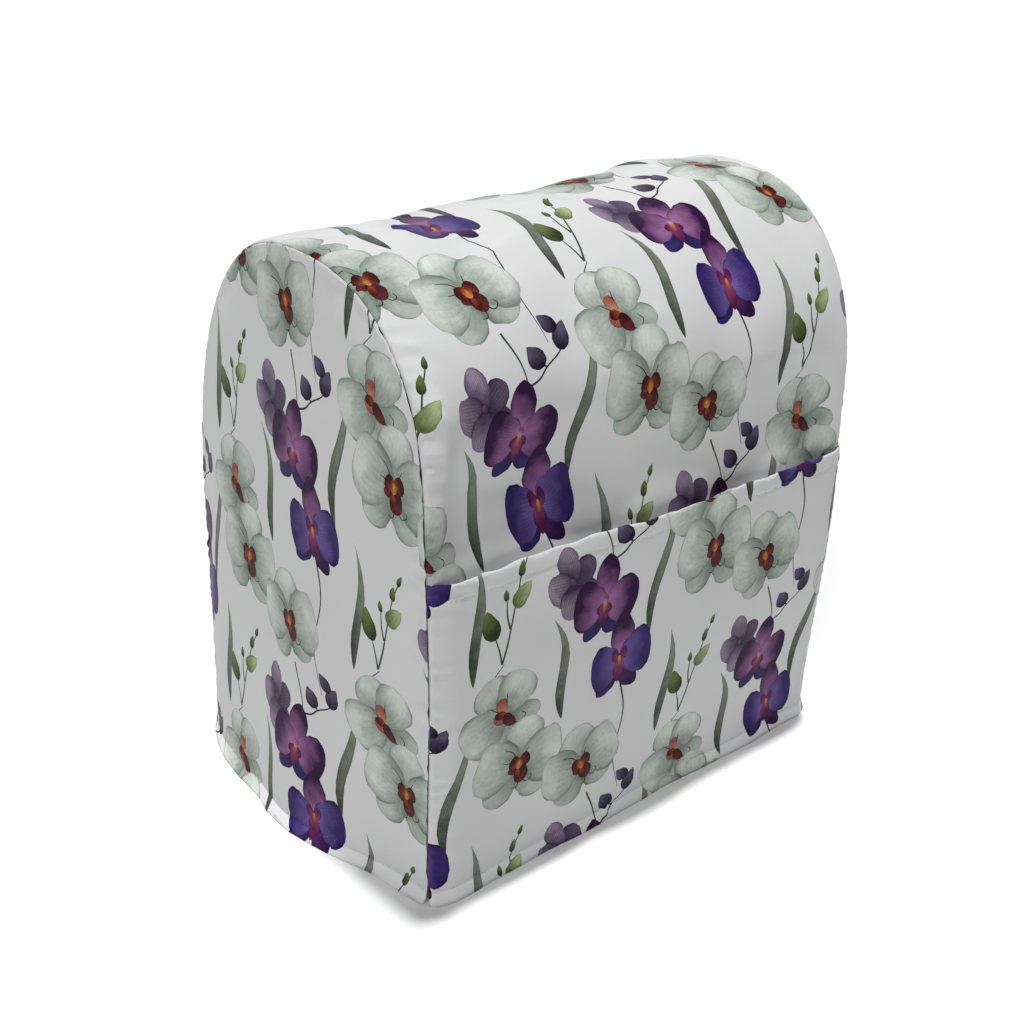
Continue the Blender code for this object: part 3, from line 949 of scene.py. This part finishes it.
clothSides = (clothMaterial("printedSatin", False), clothMaterial("printedSatinReverse", True))
sewing = plainMaterial("sewingThread", (0.30, 0.30, 0.31), 0.6, 900)
paperFloor = plainMaterial("paperFloor", (0.84, 0.84, 0.84), 0.9, 2, 0.02)
print("materials made")

# Sheets
fine = {  # where the sheets have their corners
    "seamColumns": np.array([0.0012, 0.0025, 0.0042, 0.0062, 0.0085, 0.0115, 0.0150]),
    "endRings": (0.0016, 0.0030, 0.0048, 0.0070, 0.0100, 0.0140),
    "hemRows": np.array([0.0025, 0.0050, 0.0075, 0.0088, 0.0098, 0.0110, 0.0130]),
    "topRows": np.array([0.0014, 0.0030, 0.0050, 0.0072, 0.0094, 0.0108, 0.0120, 0.0132, 0.0150, 0.0175]),
    "seamStep": 0.0027, "hemStep": 0.0040, "pocketStep": 0.0048, "step": 0.0060,
    "clear": 0.019,  # the even grid keeps this far from the seams
    "topClear": 0.021,  # and from the pocket's top edge
}
printShift = {  # where each panel was cut from the print, in millimetres
    "strip": (-38, -64), "pocket": (22, 30), "left": (64, -92), "right": (12, 30),
}


def spaced(start, end, step):
    return np.linspace(start, end, max(int(round((end - start) / step)), 1) + 1)


def gridPoints(xs, ss):
    x, s = np.meshgrid(xs, ss)
    return np.stack([x.ravel(), s.ravel()], axis=1)


def stripInside():  # closer together at seams and hems
    columns, low = fine["seamColumns"], fine["hemRows"]
    high = stripLength - low[::-1]
    xs = spaced(fine["clear"], width - fine["clear"], fine["step"])
    middle = gridPoints(xs, spaced(low[-1], high[0], fine["step"]))
    seamX = np.concatenate([columns, width - columns])
    seam = gridPoints(seamX, spaced(low[-1], high[0], fine["seamStep"]))
    ends = gridPoints(spaced(0.002, width - 0.002, fine["hemStep"]), np.concatenate([low[:-1], high[1:]]))
    return np.concatenate([middle, seam, ends])


def stripOutline(topEdge):
    across = spaced(0, width, fine["hemStep"])
    left, right = [spaced(0, top, fine["seamStep"]) for top in topEdge(np.array([0, width]))]
    return np.concatenate([
        np.stack([across, np.zeros_like(across)], axis=1),
        np.stack([np.full_like(right, width), right], axis=1)[1:],
        np.stack([across, topEdge(across)], axis=1)[-2::-1],
        np.stack([np.zeros_like(left), left], axis=1)[-2:0:-1],
    ])


def endInside(end):
    y, z, inY, inZ, _ = endOutline(end)
    rings = [
        np.stack([y + inY * depth, z + inZ * depth], axis=1)
        for depth in fine["endRings"]
    ]
    seam = np.concatenate(rings)
    foot = fine["hemRows"][-1]
    middle = gridPoints(spaced(0.0, endSize["depth"], fine["step"]), spaced(foot, 0.44, fine["step"]))
    hems = gridPoints(spaced(0.004, endSize["depth"] - 0.004, fine["hemStep"]), fine["hemRows"])
    rest = np.concatenate([middle, hems])
    _, at = nearestSeam(end, rest[:, 0], rest[:, 1])
    inside = (rest[:, 0] - y[at]) * inY[at] + (rest[:, 1] - z[at]) * inZ[at]
    rest = rest[inside > np.where(rest[:, 1] < 0.0135, 0.0012, 0.0165)]
    seam = seam[seam[:, 1] > 0.0]
    return np.concatenate([seam, rest])


def makeEnd(end, name):
    y, z, inY, inZ, _ = endOutline(end)
    inset = endSize["sideStep"]
    outline = np.stack([y + inY * inset, np.maximum(z + inZ * inset, 0)], axis=1)
    outline[0, 1] = outline[-1, 1] = 0.0
    foot = spaced(outline[-1, 0], outline[0, 0], fine["hemStep"])[1:-1]
    outline = np.concatenate([outline, np.stack([foot, np.zeros_like(foot)], axis=1)])
    inside = endInside(end)
    if end == "right":
        return makeSheet(name, outline[::-1], inside, printShift[end],
                         lambda across, up: placeEnd(end, across, up), clothSides)
    depth = endSize["depth"]  # seen from outside, the front is on the right
    return makeSheet(name, outline * (-1, 1) + (depth, 0), inside * (-1, 1) + (depth, 0), printShift[end],
                     lambda across, up: placeEnd(end, depth - across, up), clothSides)


strip = makeSheet("coverStrip", stripOutline(lambda x: np.full_like(x, stripLength)), stripInside(),
                  printShift["strip"], placeStrip, clothSides)
leftEnd = makeEnd("left", "coverEndLeft")
rightEnd = makeEnd("right", "coverEndRight")


def pocketGrid():
    columns, low = fine["seamColumns"], fine["hemRows"]
    middle = spaced(fine["clear"], width - fine["clear"], fine["pocketStep"])
    xs = np.concatenate([columns, middle, width - columns[::-1]])
    points = []
    for x, top in zip(xs, pocketTop(xs)):
        nearSeam = min(x, width - x) < (columns[-1] + fine["clear"]) / 2
        rows = spaced(low[-1], top - fine["topClear"], fine["seamStep"] if nearSeam else fine["step"])
        rows = np.concatenate([low[:-1], rows, top - fine["topRows"]])
        points.append(np.stack([np.full_like(rows, x), rows], axis=1))
    return np.concatenate(points)


frontPocket = makeSheet("coverPocket", stripOutline(pocketTop), pocketGrid(),
                        printShift["pocket"], placePocket, clothSides)
print("sheets made")

# Sewing along the hems, as raised stitches
stitchLook = {"pitch": 0.0034, "length": 0.0022, "half": 0.00017, "sunk": 0.00009, "sides": 5, "full": 0.36}


def surfacePath(place, u, v, outward):  # along a sheet, with its normals
    step = 0.0006
    points = place(u, v)
    across = place(u + step, v) - place(u - step, v)
    along = place(u, v + step) - place(u, v - step)
    outs = unit(np.cross(across, along)) * outward
    return points - np.array(cover["origin"]), outs


def stitchForm():  # one stitch round its own middle: along, across and out, pointed at both ends
    sides = stitchLook["sides"]
    corners = []
    for place in (-stitchLook["full"], stitchLook["full"]):
        for angle in np.linspace(0, math.tau, sides + 1)[:-1]:
            corners.append((place, math.cos(angle), math.sin(angle)))
    corners += [(-0.5, 0, 0), (0.5, 0, 0)]
    faces = []
    for i in range(sides):
        j = (i + 1) % sides
        faces += [(i, j, j + sides, i + sides), (i, 2 * sides, j), (i + sides, j + sides, 2 * sides + 1)]
    return corners, faces


def makeStitches(name, paths):
    corners, stitchFaces = stitchForm()
    verts, faces = [], []
    for points, outs in paths:
        aheads = unit(np.gradient(points, axis=0))
        sides = unit(np.cross(outs, aheads))
        for point, out, ahead, side in zip(points, outs, aheads, sides):
            base = len(verts)
            middle = point - out * stitchLook["sunk"]
            for place, across, up in corners:
                verts.append(middle + ahead * place * stitchLook["length"]
                             + side * across * stitchLook["half"] + out * up * stitchLook["half"])
            faces += [tuple(base + index for index in face) for face in stitchFaces]
    mesh = bpy.data.meshes.new(name)
    mesh.from_pydata([tuple(vert) for vert in verts], [], faces)
    return addPiece(name, mesh, (sewing,))


xRun = np.arange(0.006, width - 0.006, stitchLook["pitch"])
yRun = np.arange(0.012, 0.296, stitchLook["pitch"])
hemLine = hemLook["band"]


def endStitches(end, outward):
    path = surfacePath(lambda y, z: placeEnd(end, y, z), yRun, np.full_like(yRun, hemLine), outward)
    return makeStitches(end + "Stitches", [path])


pocketStitches = makeStitches("pocketStitches", [
    surfacePath(placePocket, xRun, pocketTop(xRun) - pocket["band"], 1),
    surfacePath(placePocket, xRun, np.full_like(xRun, hemLine), 1),
])
stripStitches = makeStitches("stripStitches", [
    surfacePath(placeStrip, xRun, np.full_like(xRun, stripLength - hemLine), 1),
])
leftStitches = endStitches("left", -1)
rightStitches = endStitches("right", 1)
print("stitches made")

for sheet, node, stitches in (
    (strip, "main_panel", stripStitches),
    (leftEnd, "end_panel_left", leftStitches),
    (rightEnd, "end_panel_right", rightStitches),
    (frontPocket, "front_pocket", pocketStitches),
):
    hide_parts(node)
    for piece in (sheet, stitches):
        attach(piece, "root")

for end, (_, y, z) in seams.items():
    abs(float(np.sum(0.5 * (z[1:] + z[:-1]) * np.diff(y))))

# Floor, light and camera
studio = {
    "floor": 60.0, "sky": 0.05,
    "key": 2.84, "keyTilt": 3.2, "keyTurn": 96, "keyAngle": 2.8,  # from straight above
    "fill": 1.17, "fillTilt": 42, "fillTurn": -64, "fillAngle": 45,  # from the left
    "gloss": 0.4, "glossTilt": 62, "glossTurn": 141, "glossAngle": 40,  # from behind
    "cameraPlace": (-0.5987, -0.7434, 0.6616), "cameraTilt": 63.5, "cameraTurn": -38.6,
    "lens": 48.516, "sensor": 36.0,
}


def makeStudio():
    scene = bpy.context.scene
    bpy.ops.mesh.primitive_plane_add(size=studio["floor"])
    floor = bpy.context.object
    floor.name = "studioFloor"
    floor.data.materials.append(paperFloor)
    world = bpy.data.worlds.new("studioSky")
    world.use_nodes = True
    sky = world.node_tree.nodes["Background"]
    sky.inputs["Color"].default_value = (1.0, 1.0, 1.0, 1.0)
    sky.inputs["Strength"].default_value = studio["sky"]
    scene.world = world
    for name in ("key", "fill", "gloss"):
        bpy.ops.object.light_add(type="SUN")
        light = bpy.context.object
        light.name = name + "Light"
        light.data.energy = studio[name]
        light.data.angle = math.radians(studio[name + "Angle"])
        tilt, turn = studio[name + "Tilt"], studio[name + "Turn"]
        light.rotation_euler = (math.radians(tilt), 0, math.radians(turn))
    bpy.ops.object.camera_add(location=studio["cameraPlace"])
    camera = bpy.context.object
    camera.rotation_euler = (math.radians(studio["cameraTilt"]), 0, math.radians(studio["cameraTurn"]))
    camera.data.lens = studio["lens"]
    camera.data.sensor_width = studio["sensor"]
    scene.camera = camera
    scene.view_settings.view_transform = "Standard"


makeStudio()
print("studio made")
